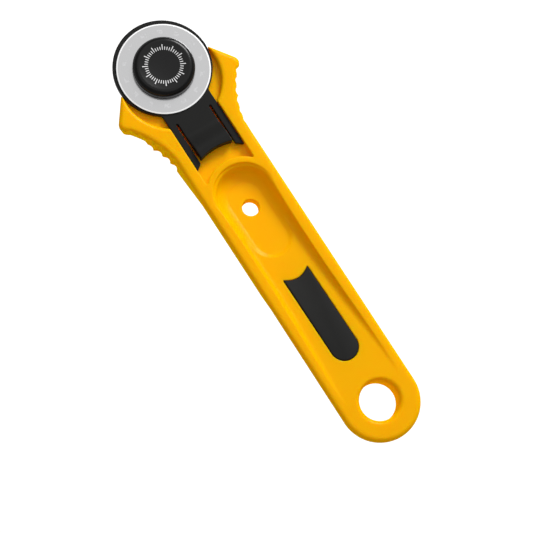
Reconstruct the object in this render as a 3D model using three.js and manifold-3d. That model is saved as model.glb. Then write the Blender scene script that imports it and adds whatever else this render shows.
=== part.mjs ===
// Rotary cutter with a 28 mm blade, a sliding blade guard and a flat moulded handle.
// Millimetres. The tool lies on its back: x runs across it, y towards the blade end and
// z out of its front. Inside the inner group zero is on the pivot bolt's axis, level with
// the blade's front face. The outer group has its origin under the middle of the tool.

import * as THREE from 'three';
import { mergeVertices } from 'three/addons/utils/BufferGeometryUtils.js';
import Module from 'manifold-3d';

const wasm = await Module();
wasm.setup();

// ---------- driving dimensions ----------

// Cutting blade
const bladeRadius = 14;
const bladeThickness = 0.3;
const bladeBoreRadius = 4;
const bladeBevelWidth = 0.9;

// Blade guard
const guardRim = 0.86;          // how far its disc stands past the blade
const guardLead = 0.6;          // its disc's centre, ahead of the bolt
const guardThickness = 1.55;
const guardTravel = 4.5;
const neckHalfWidth = 8.1;
const neckFillet = 1.2;
const tongueHalfWidth = 5.4;
const slitWidth = 0.75;
const slitFromBolt = 16.3;      // where the two slits start
const tongueLength = 28.5;      // from the bolt to the middle of the tongue's end
const tongueEndSag = 0.9;       // the end is hollow: its corners reach this much further
const legExtra = 3.15;          // the legs' outer corners reach past the tongue's end
const legSlant = 1.45;
const lipLength = 8;            // a long ramp up to the lip
const lipCrest = 1;
const lipHeight = 1.75;

// Pivot cap and bolt
const capRadius = 9.35;
const capHeight = 3.1;
const capEdge = 1.8;
const boltRadius = 2.5;
const boltHeadRadius = 4.5;
const boltHeadHeight = 0.9;
const boltHeadDepth = 1.2;      // from the cap's top down to the bolt head
const boltAcrossFlats = 4;
const boltChamfer = 0.3;
const boltSunk = 0.6;           // its end, inside the nut's outer face

// Handle
const frontLevel = 0.35;        // the handle's front, above the blade's front face
const handleThickness = 8.85;
const handleHalfWidth = 12.1;
const tailFromBolt = 116.5;     // centre of the round tail
const edgeRound = 1.7;
const sideDraft = 0.19;         // the sides close in towards the back, per mm
const uprightFrom = [15.2, 18]; // but not in a stretch that starts at the grips, here,
const uprightSides = [[11.3, 40], [11.2, 72], [10.7, 84]]; // and runs out past these
const headSetback = 1.8;        // the head's top, behind the drawn-back guard
const headTopHalfWidth = 8;
const headCorner = 3;
const shoulderWall = 5.6;       // beside the recess for the guard's disc
const shoulderBelowBolt = 9.6;  // where the shoulder's two sides would meet
const shoulderPoint = 1.15;     // and how far outside the rounded corner
const shoulderCorner = 3;
const gripStep = 1.9;           // the grips start this far inside the shoulders
const gripTop = 11.35;          // and run between these two distances from the bolt
const gripBottom = 28.5;
const gripSetOut = [2.55, 3.25];
const gripRunOut = 8;
const fluteCount = 6;
const fluteFirst = 0.1;         // the first flute's middle, along the grip
const flutePitch = 3.15;
const fluteRadius = 1.55;
const fluteDepth = 0.75;
const channelEndRound = 11.4;
const recessFloor = 2.35;       // under the blade's front face
const webThickness = 3.65;      // under the recess, at the bolt
const tonguePocketHalfWidth = 6.4;
const tonguePocketEnds = [-27.5, -15.8];
const tonguePocketDepth = 2.6;  // lets the tongue be pressed down
const hangingHoleRadius = 5.83;
const smallHoleRadius = 2.56;
const smallHoleFromBolt = 48.5;

// Thumb dish, sunk panel and the shallow recess in the back
const dishRimHalfWidth = 8.5;
const dishWallWidth = 2.9;
const dishDepth = 4.3;
const dishTopFromChannel = 11.2; // centre of its round top, behind the channel's end
const dishFloorLength = 15;
const dishTilt = 4.3;           // degrees, shallower towards the tail
const panelHalfWidth = 8.3;
const panelStart = 58;
const panelDeepAt = 65;
const panelDepth = 2.65;
const panelEndHalfWidth = 9.7;  // it widens towards its shallow end
const panelEndGap = 3.5;        // from the panel's shallow end to the tail hole's centre
const backRecessHalfWidth = 6.5;
const backRecessDepth = 0.8;
const backRecessEnds = [66, 98];

// Grip insert
const insertHalfWidth = 4.2;
const insertTop = 72.1;
const insertLength = 30;
const insertNotch = 3.5;
const insertThickness = 2.4;
const insertProud = 0.1;

// Washers, rear nut and its threaded insert
const flatWasherRadius = 7.2;
const flatWasherThickness = 0.6;
const waveWasherRadius = 6.6;
const waveWasherThickness = 0.35;
const waveHeight = 0.22;
const waveCount = 3;
const nutRadius = 9.2;
const nutHeight = 3.9;
const nutFluteCount = 18;
const nutFluteRadius = 1.1;
const nutFluteDepth = 0.6;
const nutFaceHollow = 0.8;
const nutFaceRadius = 6.2;
const nutEdge = 0.6;
const nutInsertWall = 1.4;

// Clearances
const runningGap = 0.1;         // round a shaft that turns or is turned on
const faceGap = 0.1;            // between faces in the bolt's stack
const slideGap = 0.2;           // beside and under the guard
const seatGap = 0.15;           // round the grip insert
const endGap = 0.5;             // where the guard stops
const guardGap = 0.25;          // between the guard and the blade
const pocketGap = 0.8;          // round the nut, in the handle's back
const flatWasherGap = 0.2;      // inside the two washers' bores
const waveWasherGap = 0.4;

// ---------- derived sizes ----------

const guardRadius = bladeRadius + guardRim;
const guardTop = -bladeThickness - guardGap;
const guardFloor = guardTop - guardThickness;
const hubRadius = bladeBoreRadius - runningGap;
const capUnderside = faceGap;
const capTop = capUnderside + capHeight;
const backLevel = frontLevel - handleThickness;
const floorLevel = -Math.max(recessFloor, slideGap - guardFloor);
const webBack = floorLevel - webThickness;
const shaftHoleRadius = boltRadius + runningGap;
const recessRadius = guardRadius + slideGap;
const recessCentreY = guardLead - guardTravel;
const channelHalfWidth = neckHalfWidth + slideGap;
const channelEndY = -(tongueLength + guardTravel + endGap);
const channelArcY = channelEndY - channelEndRound;
const dishTopY = channelEndY - dishTopFromChannel;
const dishFloorLevel = frontLevel - dishDepth;
const headTopY = guardLead + guardRadius - guardTravel - headSetback;
const shoulderHalfWidth = recessRadius + shoulderWall;
const tailY = -tailFromBolt;
const panelEndY = tailY + panelEndGap;
const waveTop = webBack - faceGap - flatWasherThickness - faceGap;
const waveMiddle = waveTop - waveHeight - waveWasherThickness / 2;
const nutTop = waveMiddle - waveHeight - waveWasherThickness / 2 - faceGap;
const nutBottom = nutTop - nutHeight;
const nutInsertRadius = shaftHoleRadius + nutInsertWall;
const boltEnd = nutBottom + boltSunk;
const boltHeadTop = capTop - boltHeadDepth;
const boltHeadBottom = boltHeadTop - boltHeadHeight;
const pocketLevel = webBack;
const pocketRadius = nutRadius + pocketGap;
const guardFrontY = guardLead + guardRadius;
const middleY = (guardFrontY + tailY - handleHalfWidth) / 2;
const insertFloorLevel = panelFloorAt(-insertTop) - insertThickness;

const roundSides = 48;
const smallSides = 32;
const fluteSides = 16;
const edgeSteps = 3;
const dishSteps = 5;
const arcSteps = 12;
const beyond = 5;               // how far a cutting shape runs past what it cuts
const sameSpot = 1e-3;

// ---------- solids ----------

function toSolid(geometry) {
  const bare = geometry.clone();
  bare.deleteAttribute('normal');
  bare.deleteAttribute('uv');
  const merged = mergeVertices(bare, 1e-4);
  const position = merged.attributes.position.array;
  const triangles = [];
  for (let i = 0; i < merged.index.count; i += 3) {
    const [a, b, c] = merged.index.array.slice(i, i + 3);
    if (a !== b && b !== c && c !== a) triangles.push(a, b, c);
  }
  const inward = signedVolume(position, triangles) < 0;
  if (inward) triangles.reverse();
  return new wasm.Manifold(new wasm.Mesh({
    numProp: 3,
    vertProperties: new Float32Array(position),
    triVerts: new Uint32Array(triangles),
  }));
}

function signedVolume(position, triangles) {
  const corner = (k) => new THREE.Vector3().fromArray(position, 3 * triangles[k]);
  let volume = 0;
  for (let i = 0; i < triangles.length; i += 3) {
    volume += corner(i).dot(corner(i + 1).cross(corner(i + 2)));
  }
  return volume;
}

function toGeometry(solid) {
  const mesh = solid.getMesh();
  const geometry = new THREE.BufferGeometry();
  geometry.setAttribute('position', new THREE.BufferAttribute(mesh.vertProperties, 3));
  geometry.setIndex(new THREE.BufferAttribute(mesh.triVerts, 1));
  geometry.computeVertexNormals();
  return geometry;
}

function prism(shape, bottom, top) {
  const geometry = new THREE.ExtrudeGeometry(shape, {
    depth: top - bottom, bevelEnabled: false, curveSegments: arcSteps,
  });
  return toSolid(geometry.translate(0, 0, bottom));
}

// A prism whose two ends are drawn in along a quarter round.
function roundedPrism(shape, bottom, top, inset, height, steps) {
  const geometry = new THREE.ExtrudeGeometry(shape, {
    depth: top - bottom - 2 * height,
    bevelEnabled: true,
    bevelSize: inset,
    bevelOffset: -inset,
    bevelThickness: height,
    bevelSegments: steps,
    curveSegments: arcSteps,
  });
  return toSolid(geometry.translate(0, 0, bottom + height));
}

// A prism along x, from an outline given as y and z.
function crossPrism(outline, halfWidth) {
  const shape = new THREE.Shape(outline.map(([y, z]) => new THREE.Vector2(y, z)));
  const geometry = new THREE.ExtrudeGeometry(shape, { depth: 2 * halfWidth, bevelEnabled: false });
  const turn = new THREE.Matrix4().makeBasis(
    new THREE.Vector3(0, 1, 0), new THREE.Vector3(0, 0, 1), new THREE.Vector3(1, 0, 0));
  return toSolid(geometry.applyMatrix4(turn).translate(-halfWidth, 0, 0));
}

function turned(profile, sides = roundSides) {
  const points = profile.map(([radius, z]) => new THREE.Vector2(radius, z));
  return toSolid(new THREE.LatheGeometry(points, sides).rotateX(Math.PI / 2));
}

// A ring's profile closes on itself.
function ring(inner, outer, bottom, top, sides = roundSides) {
  return turned([[inner, bottom], [outer, bottom], [outer, top], [inner, top], [inner, bottom]], sides);
}

function rod(x, y, radius, bottom, top, sides = smallSides) {
  return turned([[0, bottom], [radius, bottom], [radius, top], [0, top]], sides).translate([x, y, 0]);
}

function block(halfWidth, fromY, toY, bottom, top) {
  return crossPrism([[fromY, bottom], [toY, bottom], [toY, top], [fromY, top]], halfWidth);
}

function obround(halfWidth, topCentreY, bottomCentreY) {
  const shape = new THREE.Shape();
  shape.absarc(0, topCentreY, halfWidth, 0, Math.PI, false);
  shape.absarc(0, bottomCentreY, halfWidth, Math.PI, 2 * Math.PI, false);
  return shape;
}

// The whole outline from its right half, which runs from the top of x = 0 to its bottom.
function mirroredShape(half) {
  const apart = (p, i, all) => i === 0 || p.distanceTo(all[i - 1]) > sameSpot;
  const right = half.getPoints(arcSteps).filter(apart);
  const left = right.slice(1, -1).reverse().map((p) => new THREE.Vector2(-p.x, p.y));
  return new THREE.Shape([...right, ...left]);
}

// Draws a line towards a corner and rounds it off, setting out for the next point.
function lineWithCorner(path, corner, next, before, after) {
  const from = path.currentPoint;
  const inStep = from.clone().sub(corner).setLength(before).add(corner);
  const outStep = next.clone().sub(corner).setLength(after).add(corner);
  path.lineTo(inStep.x, inStep.y);
  path.quadraticCurveTo(corner.x, corner.y, outStep.x, outStep.y);
}

function named(name, solid, color, roughness, metalness) {
  const material = new THREE.MeshStandardMaterial({ color, roughness, metalness });
  const mesh = new THREE.Mesh(toGeometry(solid), material);
  mesh.name = name;
  return mesh;
}

// ---------- handle ----------

function shoulderTip() {
  return new THREE.Vector2(shoulderHalfWidth + shoulderPoint, -shoulderBelowBolt);
}

// The hollow side that the fingers hold, from the shoulder down to the straight handle.
function gripCurve() {
  const start = new THREE.Vector2(shoulderHalfWidth - gripStep, -gripTop);
  const end = new THREE.Vector2(handleHalfWidth, -gripBottom);
  const setOut = new THREE.Vector2(start.x - gripSetOut[0], start.y - gripSetOut[1]);
  const runOut = new THREE.Vector2(handleHalfWidth, -gripBottom + gripRunOut);
  return new THREE.CubicBezierCurve(start, setOut, runOut, end);
}

function handleOutline() {
  const grip = gripCurve();
  const half = new THREE.Path();
  const headEnd = new THREE.Vector2(headTopHalfWidth, headTopY);
  half.moveTo(0, headTopY);
  lineWithCorner(half, headEnd, shoulderTip(), headCorner, headCorner);
  lineWithCorner(half, shoulderTip(), grip.v0, shoulderCorner, shoulderTip().distanceTo(grip.v0));
  half.bezierCurveTo(grip.v1.x, grip.v1.y, grip.v2.x, grip.v2.y, grip.v3.x, grip.v3.y);
  half.absarc(0, tailY, handleHalfWidth, 0, -Math.PI / 2, true);
  return mirroredShape(half);
}

function cutFlutes(body) {
  const grip = gripCurve();
  for (let i = 0; i < fluteCount; i += 1) {
    const along = (fluteFirst + i * flutePitch) / grip.getLength();
    const point = grip.getPointAt(along);
    const tangent = grip.getTangentAt(along);
    const outward = new THREE.Vector2(-tangent.y, tangent.x).multiplyScalar(fluteRadius - fluteDepth);
    const centre = point.add(outward);
    for (const side of [-1, 1]) {
      const flute = rod(
        side * centre.x, centre.y, fluteRadius, backLevel - beyond, frontLevel + beyond, fluteSides);
      body = body.subtract(flute);
    }
  }
  return body;
}

// The sides close in towards the back, except in the stretch that starts at the grips.
function handleMoulding() {
  const draftHeight = handleThickness - edgeRound;
  const draftInset = draftHeight * sideDraft;
  const upright = roundedPrism(handleOutline(), backLevel, frontLevel, edgeRound, edgeRound, edgeSteps);
  const drafted = roundedPrism(
    handleOutline(), backLevel, frontLevel + edgeRound + draftHeight, draftInset, draftHeight, 1);
  const half = new THREE.Path();
  half.moveTo(0, -gripTop);
  half.lineTo(uprightFrom[0], -gripTop);
  half.lineTo(uprightFrom[0], -uprightFrom[1]);
  half.lineTo(shoulderHalfWidth, -uprightFrom[1]);
  half.lineTo(handleHalfWidth, -gripBottom);
  for (const [halfWidth, fromBolt] of uprightSides) half.lineTo(halfWidth, -fromBolt);
  half.lineTo(0, -uprightSides.at(-1)[1]);
  const gripStretch = prism(mirroredShape(half), backLevel - beyond, frontLevel + beyond);
  return upright.intersect(drafted.add(gripStretch));
}

function guardRecess() {
  const disc = new THREE.Path();
  disc.moveTo(0, guardFrontY + beyond);
  disc.lineTo(recessRadius, guardFrontY + beyond);
  disc.absarc(0, recessCentreY, recessRadius, 0, -Math.PI / 2, true);
  const channel = new THREE.Path();
  const cornerAngle = Math.asin(channelHalfWidth / channelEndRound);
  channel.moveTo(0, recessCentreY);
  channel.lineTo(channelHalfWidth, recessCentreY);
  channel.absarc(0, channelArcY, channelEndRound, Math.PI / 2 - cornerAngle, Math.PI / 2, false);
  const top = frontLevel + beyond;
  return prism(mirroredShape(disc), floorLevel, top).add(prism(mirroredShape(channel), floorLevel, top));
}

function keyedShape(radius, halfFlats) {
  const shape = new THREE.Shape();
  const flatAngle = Math.acos(halfFlats / radius);
  shape.absarc(0, 0, radius, flatAngle, Math.PI - flatAngle, false);
  shape.absarc(0, 0, radius, Math.PI + flatAngle, 2 * Math.PI - flatAngle, false);
  return shape;
}

// The panel's floor rises from its deep end to the handle's front at its shallow end.
function panelFloorAt(y) {
  const deepY = -panelDeepAt;
  return frontLevel - panelDepth * (y - panelEndY) / (deepY - panelEndY);
}

function panelCut() {
  const headY = -panelStart + panelHalfWidth;
  const top = frontLevel + beyond;
  const wedge = crossPrism([
    [headY, panelFloorAt(headY)], [headY, top], [panelEndY, top], [panelEndY, frontLevel],
  ], panelHalfWidth + beyond);
  const outline = new THREE.Shape();
  outline.absarc(0, -panelStart, panelHalfWidth, 0, Math.PI, false);
  outline.lineTo(-panelHalfWidth, -panelDeepAt);
  outline.lineTo(-panelEndHalfWidth, panelEndY);
  outline.lineTo(panelEndHalfWidth, panelEndY);
  outline.lineTo(panelHalfWidth, -panelDeepAt);
  return prism(outline, backLevel, top).intersect(wedge);
}

function insertOutline(grow) {
  const halfWidth = insertHalfWidth + grow;
  const topY = -insertTop + grow;
  const endY = -insertTop - insertLength + insertHalfWidth;
  const shape = new THREE.Shape();
  shape.moveTo(halfWidth, topY);
  shape.quadraticCurveTo(0, topY - insertNotch, -halfWidth, topY);
  shape.absarc(0, endY, halfWidth, Math.PI, 2 * Math.PI, false);
  return shape;
}

function thumbDish() {
  const upright = roundedPrism(
    obround(dishRimHalfWidth, 0, -dishFloorLength), 0, 3 * dishDepth, dishWallWidth, dishDepth, dishSteps);
  return upright.rotate([-dishTilt, 0, 0]).translate([0, dishTopY, dishFloorLevel]);
}

function handleBody() {
  const shaftHole = keyedShape(shaftHoleRadius, boltAcrossFlats / 2 + runningGap);
  const backRecess = obround(backRecessHalfWidth, -backRecessEnds[0], -backRecessEnds[1]);
  const low = backLevel - beyond;
  const high = frontLevel + beyond;
  return cutFlutes(handleMoulding())
    .subtract(guardRecess())
    .subtract(thumbDish())
    .subtract(block(tonguePocketHalfWidth, ...tonguePocketEnds, floorLevel - tonguePocketDepth, 0))
    .subtract(panelCut())
    .subtract(prism(insertOutline(seatGap), insertFloorLevel - seatGap, high))
    .subtract(prism(shaftHole, low, high))
    .subtract(rod(0, 0, pocketRadius, low, pocketLevel, roundSides))
    .subtract(rod(0, -smallHoleFromBolt, smallHoleRadius, low, high))
    .subtract(rod(0, tailY, hangingHoleRadius, low, high, roundSides))
    .subtract(prism(backRecess, low, backLevel + backRecessDepth));
}

function gripInsert() {
  const fromY = -insertTop + beyond;
  const toY = -insertTop - insertLength - beyond;
  const below = crossPrism([
    [fromY, panelFloorAt(fromY) + insertProud], [toY, panelFloorAt(toY) + insertProud],
    [toY, insertFloorLevel], [fromY, insertFloorLevel],
  ], insertHalfWidth + beyond);
  return prism(insertOutline(0), insertFloorLevel, frontLevel + beyond).intersect(below);
}

// ---------- blade guard ----------

function guardPlate() {
  const half = new THREE.Path();
  const meetAngle = Math.asin((neckHalfWidth + neckFillet) / (guardRadius + neckFillet));
  const filletY = guardLead - (guardRadius + neckFillet) * Math.cos(meetAngle);
  half.absarc(0, guardLead, guardRadius, Math.PI / 2, -Math.PI / 2 + meetAngle, true);
  half.absarc(neckHalfWidth + neckFillet, filletY, neckFillet, Math.PI / 2 + meetAngle, Math.PI, false);
  half.lineTo(neckHalfWidth, -tongueLength - legExtra);
  half.lineTo(tongueHalfWidth + slitWidth, -tongueLength - legExtra + legSlant);
  half.lineTo(tongueHalfWidth + slitWidth, -slitFromBolt);
  half.lineTo(tongueHalfWidth, -slitFromBolt);
  half.lineTo(tongueHalfWidth, -tongueLength - tongueEndSag);
  half.quadraticCurveTo(tongueHalfWidth / 2, -tongueLength, 0, -tongueLength);
  return prism(mirroredShape(half), guardFloor, guardTop);
}

// The thumb lip: the tongue's end ramps up and finishes in a thick hollowed edge.
function guardLip() {
  const half = new THREE.Path();
  half.moveTo(0, -tongueLength + lipLength);
  half.lineTo(tongueHalfWidth, -tongueLength + lipLength);
  half.lineTo(tongueHalfWidth, -tongueLength - tongueEndSag);
  half.quadraticCurveTo(tongueHalfWidth / 2, -tongueLength, 0, -tongueLength);
  const top = guardTop + lipHeight;
  const endY = -tongueLength - tongueEndSag - beyond;
  const ramp = crossPrism([
    [-tongueLength + lipLength, guardTop], [-tongueLength + lipCrest, top],
    [endY, top], [endY, guardFloor], [-tongueLength + lipLength, guardFloor],
  ], tongueHalfWidth + beyond);
  return prism(mirroredShape(half), guardFloor, top).intersect(ramp);
}

function bladeGuard() {
  const slot = obround(hubRadius + slideGap, guardTravel, 0);
  return guardPlate()
    .add(guardLip())
    .subtract(prism(slot, guardFloor - beyond, guardTop + beyond));
}

// ---------- blade, cap, bolt ----------

function cuttingBlade() {
  const flatRadius = bladeRadius - bladeBevelWidth;
  return turned([
    [bladeBoreRadius, -bladeThickness], [flatRadius, -bladeThickness],
    [bladeRadius, -bladeThickness / 2], [flatRadius, 0],
    [bladeBoreRadius, 0], [bladeBoreRadius, -bladeThickness],
  ], 2 * roundSides);
}

// The cap is moulded over the bolt's head, and its hub carries the blade.
function pivotCap() {
  const hubEnd = guardFloor;
  const edge = [];
  for (let i = 0; i <= edgeSteps; i += 1) {
    const angle = Math.PI / 2 * i / edgeSteps;
    edge.push([
      capRadius - capEdge * (1 - Math.cos(angle)), capTop - capEdge * (1 - Math.sin(angle))]);
  }
  return turned([
    [0, boltHeadTop + runningGap], [boltHeadRadius + runningGap, boltHeadTop + runningGap],
    [boltHeadRadius + runningGap, boltHeadBottom - runningGap],
    [shaftHoleRadius, boltHeadBottom - runningGap],
    [shaftHoleRadius, hubEnd], [hubRadius, hubEnd], [hubRadius, capUnderside],
    [capRadius, capUnderside], ...edge, [0, capTop],
  ]);
}

function pivotBolt() {
  const bolt = turned([
    [0, boltEnd], [boltRadius - boltChamfer, boltEnd], [boltRadius, boltEnd + boltChamfer],
    [boltRadius, boltHeadBottom], [boltHeadRadius, boltHeadBottom],
    [boltHeadRadius, boltHeadTop], [0, boltHeadTop],
  ], smallSides);
  const keyed = prism(keyedShape(boltRadius, boltAcrossFlats / 2), boltEnd - beyond, floorLevel);
  const upper = block(boltHeadRadius + beyond, -beyond * 2, beyond * 2, floorLevel, capTop);
  return bolt.intersect(keyed.add(upper));
}

// ---------- washers and nut ----------

function flatWasher() {
  const top = webBack - faceGap;
  return ring(shaftHoleRadius + flatWasherGap, flatWasherRadius, top - flatWasherThickness, top);
}

// A flat ring bent into waves.
function waveWasher() {
  const half = waveWasherThickness / 2;
  const inner = shaftHoleRadius + waveWasherGap;
  const points = [
    [inner, -half], [waveWasherRadius, -half], [waveWasherRadius, half], [inner, half], [inner, -half],
  ].map(([radius, z]) => new THREE.Vector2(radius, z));
  const geometry = new THREE.LatheGeometry(points, roundSides).rotateX(Math.PI / 2);
  const position = geometry.attributes.position;
  for (let i = 0; i < position.count; i += 1) {
    const angle = Math.atan2(position.getY(i), position.getX(i));
    position.setZ(i, position.getZ(i) + waveMiddle + waveHeight * Math.cos(waveCount * angle));
  }
  return toSolid(geometry);
}

function rearNut() {
  const bore = nutInsertRadius + runningGap;
  let nut = turned([
    [bore, nutTop], [bore, nutBottom + nutFaceHollow], [nutFaceRadius, nutBottom + nutFaceHollow],
    [nutFaceRadius + nutEdge, nutBottom], [nutRadius - nutEdge, nutBottom],
    [nutRadius, nutBottom + nutEdge], [nutRadius, nutTop - nutEdge],
    [nutRadius - nutEdge, nutTop], [bore, nutTop],
  ]);
  for (let i = 0; i < nutFluteCount; i += 1) {
    const angle = 2 * Math.PI * i / nutFluteCount;
    const reach = nutRadius + nutFluteRadius - nutFluteDepth;
    const flute = rod(
      reach * Math.cos(angle), reach * Math.sin(angle), nutFluteRadius,
      nutBottom - beyond, nutTop + beyond, fluteSides);
    nut = nut.subtract(flute);
  }
  return nut;
}

function nutInsert() {
  const end = nutBottom + nutFaceHollow / 2;
  return ring(shaftHoleRadius, nutInsertRadius, end, nutTop - faceGap, smallSides);
}

// ---------- the assembly ----------

const tool = new THREE.Group();
tool.position.set(0, -middleY, -nutBottom);
tool.add(named('handle_body', handleBody(), 0xf8b002, 0.38, 0));
tool.add(named('grip_insert', gripInsert(), 0x2b2b2a, 0.6, 0));
tool.add(named('blade_guard', bladeGuard(), 0x2c2c2a, 0.5, 0));
tool.add(named('cutting_blade', cuttingBlade(), 0xc3c4c6, 0.3, 1));
tool.add(named('pivot_cap', pivotCap(), 0x1e1e1e, 0.35, 0));
tool.add(named('pivot_bolt', pivotBolt(), 0xb5b7ba, 0.35, 1));
tool.add(named('flat_washer', flatWasher(), 0xb9bbbd, 0.35, 1));
tool.add(named('wave_washer', waveWasher(), 0x9a9da1, 0.3, 1));
tool.add(named('nut_insert', nutInsert(), 0xb08d45, 0.35, 1));
tool.add(named('rear_nut', rearNut(), 0x232323, 0.5, 0));

const rotaryCutter = new THREE.Group();
rotaryCutter.add(tool);

export default rotaryCutter;
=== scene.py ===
import math

import bpy
from mathutils import Matrix, Vector


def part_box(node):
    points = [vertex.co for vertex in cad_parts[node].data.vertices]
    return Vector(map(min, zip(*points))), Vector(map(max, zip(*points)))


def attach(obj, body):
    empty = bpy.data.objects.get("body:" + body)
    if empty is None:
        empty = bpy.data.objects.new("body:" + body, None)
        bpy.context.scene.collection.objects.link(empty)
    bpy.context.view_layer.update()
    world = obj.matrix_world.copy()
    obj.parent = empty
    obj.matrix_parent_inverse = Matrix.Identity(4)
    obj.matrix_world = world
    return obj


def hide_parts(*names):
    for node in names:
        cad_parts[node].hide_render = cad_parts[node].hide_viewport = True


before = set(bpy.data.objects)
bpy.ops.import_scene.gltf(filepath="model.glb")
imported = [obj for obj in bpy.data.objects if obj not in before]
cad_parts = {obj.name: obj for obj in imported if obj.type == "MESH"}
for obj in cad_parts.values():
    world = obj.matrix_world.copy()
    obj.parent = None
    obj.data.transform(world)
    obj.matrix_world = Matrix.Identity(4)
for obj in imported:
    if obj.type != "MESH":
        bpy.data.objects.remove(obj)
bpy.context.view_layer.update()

mm = 0.001
bladeLow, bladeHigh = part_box("cutting_blade")
# everything is modelled in mm round the bolt, level with the blade's front face
home = Vector(((bladeLow.x + bladeHigh.x) / 2, (bladeLow.y + bladeHigh.y) / 2, bladeHigh.z))


def span(node):
    low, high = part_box(node)
    return (low - home) / mm, (high - home) / mm


print("frame loaded, bolt at", [round(v, 5) for v in home])

studio = {
    "cameraPlace": (-97.4, -127.5, 459.2),  # mm from the bolt
    "cameraAim": (-6.5, -66.4, 0.0),
    "cameraTop": (0.5129, 0.8318, 0.2121),
    "lens": 110.0,
    "sensor": 36.0,
    "nearestSeen": 0.01,
    "worldStrength": 0.29,
    "floorSize": 12.0,
    "floorDrop": 0.3,
    "floorGlow": 0.3,
    "floorColor": (0.93, 0.93, 0.93),
    "floorRoughness": 0.9,
    "keyPlace": (0.92, 0.6, 0.82),
    "keySize": 0.5,
    "keyPower": 15.6,
    "topPlace": (0.23, 0.16, 1.17),
    "topSize": 1.6,
    "topPower": 5.4,
}


def addCamera():
    place = home + Vector(studio["cameraPlace"]) * mm
    aim = home + Vector(studio["cameraAim"]) * mm
    back = (place - aim).normalized()
    side = Vector(studio["cameraTop"]).cross(back).normalized()
    top = back.cross(side)
    turn = Matrix((side, top, back)).transposed()
    bpy.ops.object.camera_add(location=place, rotation=turn.to_euler())
    camera = bpy.context.object
    camera.data.lens = studio["lens"]
    camera.data.sensor_width = studio["sensor"]
    camera.data.clip_start = studio["nearestSeen"]
    bpy.context.scene.camera = camera


def addLight(name, place, size, power):
    bpy.ops.object.light_add(type="AREA", location=place)
    light = bpy.context.object
    light.name = name
    light.data.size = size
    light.data.energy = power
    light.rotation_euler = Vector(place).to_track_quat("Z", "Y").to_euler()


def addStudio():
    world = bpy.data.worlds.new("studioWorld")
    world.use_nodes = True
    background = world.node_tree.nodes["Background"]
    background.inputs["Color"].default_value = (1, 1, 1, 1)
    background.inputs["Strength"].default_value = studio["worldStrength"]
    bpy.context.scene.world = world
    bpy.context.scene.view_settings.view_transform = "Standard"
    addLight("keyLight", studio["keyPlace"], studio["keySize"], studio["keyPower"])
    addLight("topLight", studio["topPlace"], studio["topSize"], studio["topPower"])
    bpy.ops.mesh.primitive_plane_add(size=studio["floorSize"], location=(0, 0, -studio["floorDrop"]))
    floor = bpy.context.object
    floor.name = "studioFloor"
    material, tree, shader = startMaterial("paleFloor", studio["floorColor"], studio["floorRoughness"])
    shader.inputs["Emission Color"].default_value = (1, 1, 1, 1)
    shader.inputs["Emission Strength"].default_value = studio["floorGlow"]
    floor.data.materials.append(material)


# material helpers

def startMaterial(name, color, roughness, metallic=0.0):
    material = bpy.data.materials.new(name)
    material.use_nodes = True
    shader = material.node_tree.nodes["Principled BSDF"]
    shader.inputs["Base Color"].default_value = (*color, 1)
    shader.inputs["Roughness"].default_value = roughness
    shader.inputs["Metallic"].default_value = metallic
    return material, material.node_tree, shader


def addNode(tree, kind, inputs=None, **settings):
    node = tree.nodes.new(kind)
    for key, value in settings.items():
        setattr(node, key, value)
    for key, value in (inputs or {}).items():
        if isinstance(value, bpy.types.NodeSocket):
            tree.links.new(value, node.inputs[key])
        else:
            node.inputs[key].default_value = value
    return node


def maths(tree, operation, first, second=0.0, third=0.0):
    node = addNode(tree, "ShaderNodeMath", {0: first, 1: second, 2: third}, operation=operation)
    return node.outputs[0]


def between(tree, value, low, high, soft):
    rise = addNode(tree, "ShaderNodeMapRange", {"Value": value,
                                                "From Min": low - soft, "From Max": low + soft})
    fall = addNode(tree, "ShaderNodeMapRange", {"Value": value,
                                                "From Min": high - soft, "From Max": high + soft,
                                                "To Min": 1.0, "To Max": 0.0})
    return maths(tree, "MULTIPLY", rise.outputs[0], fall.outputs[0])


def placeOn(tree):
    return addNode(tree, "ShaderNodeTexCoord").outputs["Object"]


# distance from the bolt in mm, the turn round it from 0 to 1, and the height over the blade in mm
def roundBolt(tree):
    shifted = addNode(tree, "ShaderNodeVectorMath", {0: placeOn(tree), 1: home}, operation="SUBTRACT")
    parts = addNode(tree, "ShaderNodeSeparateXYZ", {0: shifted.outputs[0]})
    flat = addNode(tree, "ShaderNodeCombineXYZ", {0: parts.outputs[0], 1: parts.outputs[1]})
    length = addNode(tree, "ShaderNodeVectorMath", {0: flat.outputs[0]}, operation="LENGTH")
    angle = maths(tree, "ARCTAN2", parts.outputs[1], parts.outputs[0])
    turn = maths(tree, "MULTIPLY_ADD", angle, 1 / (2 * math.pi), 0.5)
    radius = maths(tree, "MULTIPLY", length.outputs["Value"], 1 / mm)
    return radius, turn, maths(tree, "MULTIPLY", parts.outputs[2], 1 / mm)


def noise(tree, scale, detail=3.0, vector=None):
    place = vector or placeOn(tree)
    node = addNode(tree, "ShaderNodeTexNoise", {"Vector": place, "Scale": scale, "Detail": detail})
    return node.outputs["Fac"]


def blendColors(tree, factor, first, second):
    node = addNode(tree, "ShaderNodeMix", {"Factor": factor}, data_type="RGBA")
    for socket, value in ((node.inputs[6], first), (node.inputs[7], second)):
        if isinstance(value, bpy.types.NodeSocket):
            tree.links.new(value, socket)
        else:
            socket.default_value = (*value, 1)
    return node.outputs[2]


def scaled(tree, value, low, high):
    node = addNode(tree, "ShaderNodeMapRange", {"Value": value, "To Min": low, "To Max": high})
    return node.outputs[0]


def addBump(tree, shader, height, distance):
    bump = addNode(tree, "ShaderNodeBump", {"Height": height, "Distance": distance, "Strength": 1.0})
    tree.links.new(bump.outputs[0], shader.inputs["Normal"])


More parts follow.
